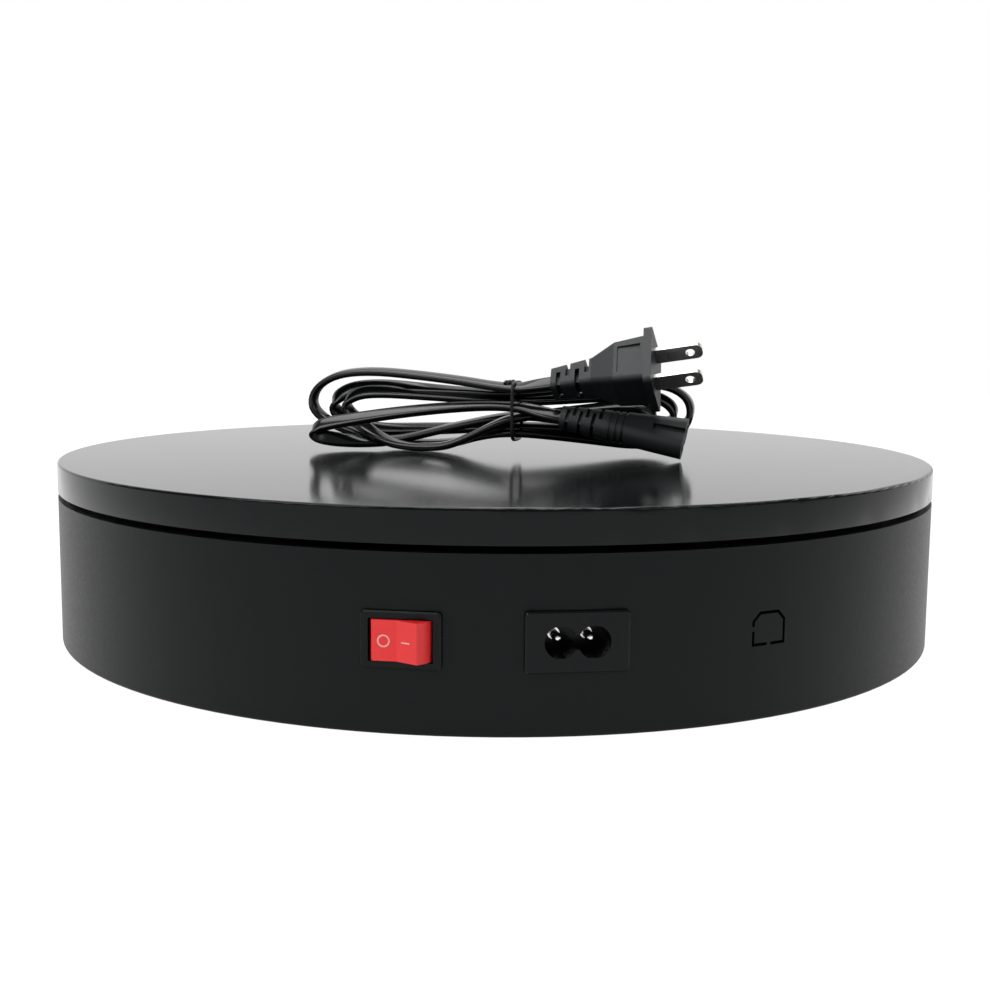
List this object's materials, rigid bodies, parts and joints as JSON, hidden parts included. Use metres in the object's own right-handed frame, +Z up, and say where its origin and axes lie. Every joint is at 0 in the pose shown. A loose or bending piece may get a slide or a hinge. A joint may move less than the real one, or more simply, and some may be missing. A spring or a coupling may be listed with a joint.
{
  "type": "rotating display turntable",
  "caption": "Low round motorised turntable: a flat platter on a drum base with a rocker switch and a mains inlet, its tied-up mains lead lying on top.",
  "frame": {"origin": "on the floor, under the middle of the base, on the platter's axis", "axes": "+Z up along the platter's axis; the wall with the switch and the inlet faces -Y; +X to the right"},
  "size_m": [0.3, 0.3034, 0.1051],
  "materials": {
    "base_plastic": "moulded, fine grain",
    "platter_plastic": "moulded, satin top",
    "fitting_plastic": "smooth gloss",
    "rocker_red": "smooth gloss",
    "screw_steel": "zinc plated",
    "race_steel": "pressed",
    "ball_steel": "polished",
    "motor_steel": "plated",
    "shaft_steel": "turned",
    "bush_brass": "turned",
    "terminal_brass": "stamped",
    "hub_aluminium": "turned",
    "cage_plastic": "natural",
    "pin_metal": "nickel plated",
    "foot_rubber": "matt",
    "lead_black": "insulated wire",
    "lead_brown": "insulated wire",
    "lead_blue": "insulated wire",
    "cord_sheath": "soft sheath",
    "tie_wire": "coated wire",
    "plug_plastic": "moulded"
  },
  "bodies": {
    "base": {"base_housing": "base_plastic", "bottom_cover": "base_plastic", "cover_screws": "screw_steel", "rubber_foot_1": "foot_rubber", "rubber_foot_2": "foot_rubber", "rubber_foot_3": "foot_rubber", "rubber_foot_4": "foot_rubber", "bearing_lower_race": "race_steel", "motor_can": "motor_steel", "motor_end_plate": "motor_steel", "motor_bush": "bush_brass", "motor_screws": "screw_steel", "switch_housing": "fitting_plastic", "switch_terminals": "terminal_brass", "inlet_housing": "fitting_plastic", "inlet_pins": "pin_metal", "inlet_switch_lead": "lead_black", "switch_motor_lead": "lead_brown", "inlet_motor_lead": "lead_blue"},
    "turning_platter": {"platter": "platter_plastic", "bearing_upper_race": "race_steel", "drive_hub": "hub_aluminium", "hub_screws": "screw_steel", "hub_set_screw": "screw_steel", "motor_shaft": "shaft_steel"},
    "ball_cage": {"bearing_cage": "cage_plastic", "bearing_balls": "ball_steel"},
    "rocker": {"switch_rocker": "rocker_red"},
    "mains_lead": {"power_cord": "cord_sheath", "cord_tie": "tie_wire", "plug_body": "plug_plastic", "plug_blades": "pin_metal", "cord_connector": "plug_plastic"}
  },
  "joints": [
    {"name": "platter_spin", "type": "hinge", "parent": "base", "child": "turning_platter", "pos_m": [0, 0, 0.0505], "axis": [0, 0, 1], "continuous": true},
    {"name": "cage_spin", "type": "hinge", "parent": "base", "child": "ball_cage", "pos_m": [0, 0, 0.05275], "axis": [0, 0, 1], "continuous": true},
    {"name": "rocker_press", "type": "hinge", "parent": "base", "child": "rocker", "pos_m": [-0.02317, -0.14628, 0.026], "axis": [0, 0, 1], "range_deg": [0, 26]},
    {"name": "power_cord_lift", "type": "slide", "parent": "turning_platter", "child": "mains_lead", "axis": [0, 0, 1], "range_m": [0, 0.08]}
  ],
  "couplings": [
    {"joint": "cage_spin", "follows": "platter_spin", "ratio": 0.5}
  ]
}
